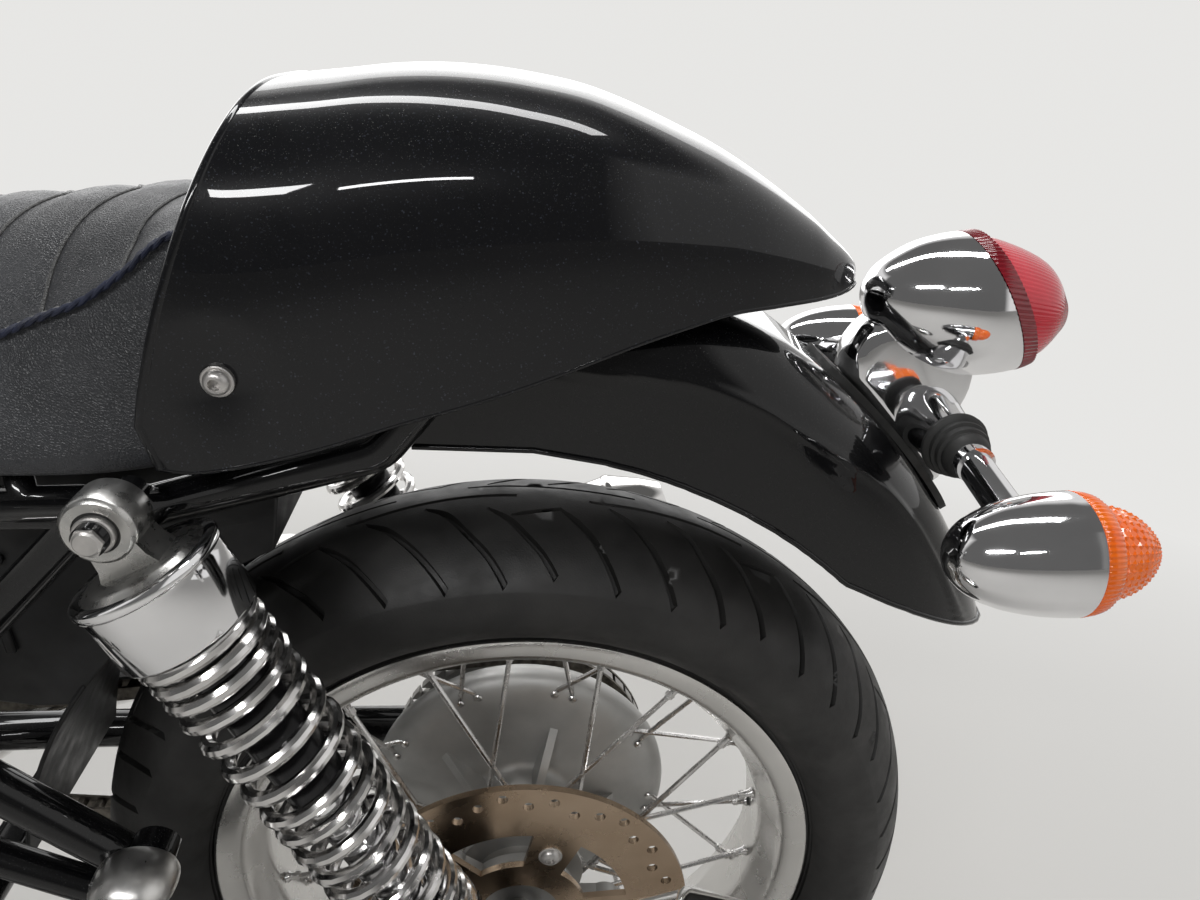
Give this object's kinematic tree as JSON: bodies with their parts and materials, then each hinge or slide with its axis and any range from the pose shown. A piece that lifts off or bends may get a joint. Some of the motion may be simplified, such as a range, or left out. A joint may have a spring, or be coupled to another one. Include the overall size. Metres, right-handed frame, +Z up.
{
  "type": "cafe racer motorcycle",
  "caption": "Single-seat twin-cylinder motorcycle with a humped seat cowl, wire wheels and upswept silencers, leaning on its side stand.",
  "frame": {"origin": "on the ground, below the middle of the parked bike's bounding box", "axes": "+X towards the front wheel, +Y to the bike's left, +Z up"},
  "size_m": [2.177, 0.727, 1.1737],
  "materials": {
    "tyre_rubber": "matte",
    "rim_alloy": "polished",
    "spoke_steel": "polished",
    "disc_steel": "brushed",
    "frame_paint": "gloss",
    "cast_alloy": "satin",
    "chrome": "polished",
    "engine_black": "satin",
    "body_paint": "gloss",
    "cowl_paint": "gloss",
    "seat_vinyl": "grained",
    "black_plastic": "satin",
    "black_rubber": "matte",
    "red_lens": "gloss",
    "orange_lens": "gloss",
    "clear_glass": "gloss"
  },
  "bodies": {
    "frame": {"chain": "spoke_steel", "swingarm": "frame_paint", "rear_axle": "spoke_steel", "frame_spine": "frame_paint", "frame_tail": "frame_paint", "frame_cradle": "frame_paint", "engine_crankcase": "cast_alloy", "engine_covers": "chrome", "engine_barrels": "engine_black", "carburettors": "cast_alloy", "airbox": "black_plastic", "side_panels": "cowl_paint", "exhaust_left": "chrome", "exhaust_right": "chrome", "oil_cooler": "engine_black", "fuel_tank": "body_paint", "fuel_cap": "chrome", "seat": "seat_vinyl", "seat_cowl": "cowl_paint", "rear_mudguard": "body_paint", "tail_light_lens": "red_lens", "tail_light_body": "chrome", "rear_indicators": "chrome", "rear_indicator_lenses": "orange_lens", "shock_dampers": "chrome", "shock_springs": "chrome", "rear_caliper": "cast_alloy", "chain_guard": "black_plastic", "footrests_left": "black_rubber", "footrests_right": "black_rubber", "passenger_hangers": "frame_paint"},
    "steering": {"fork_yokes": "cast_alloy", "fork_stanchions": "chrome", "fork_sliders": "cast_alloy", "front_axle": "spoke_steel", "front_mudguard": "body_paint", "front_caliper": "cast_alloy", "handlebars": "frame_paint", "grips": "black_rubber", "hand_levers": "cast_alloy", "mirrors": "chrome", "headlight_shell": "chrome", "headlight_lens": "clear_glass", "gauges": "chrome", "front_indicators": "chrome", "front_indicator_lenses": "orange_lens"},
    "front_wheel": {"front_tyre": "tyre_rubber", "front_rim": "rim_alloy", "front_hub": "cast_alloy", "front_disc": "disc_steel"},
    "rear_wheel": {"rear_tyre": "tyre_rubber", "rear_rim": "rim_alloy", "rear_hub": "cast_alloy", "rear_disc": "disc_steel", "rear_sprocket": "spoke_steel"},
    "side_stand": {"side_stand": "frame_paint"}
  },
  "joints": [
    {"name": "steering_turn", "type": "hinge", "parent": "frame", "child": "steering", "pos_m": [0.4541, -0.01417, 0.80457], "axis": [-0.454, 0.1163, 0.8834], "range_deg": [-28, 28]},
    {"name": "front_wheel_spin", "type": "hinge", "parent": "steering", "child": "front_wheel", "pos_m": [0.77, -0.07841, 0.31654], "axis": [0, 0.9914, -0.1305], "continuous": true},
    {"name": "rear_wheel_spin", "type": "hinge", "parent": "frame", "child": "rear_wheel", "pos_m": [-0.72, -0.07823, 0.31793], "axis": [0, 0.9914, -0.1305], "continuous": true},
    {"name": "side_stand_fold", "type": "hinge", "parent": "frame", "child": "side_stand", "pos_m": [-0.08, 0.01127, 0.13972], "axis": [0.1535, 0.6811, 0.7159], "range_deg": [0, 100]}
  ]
}
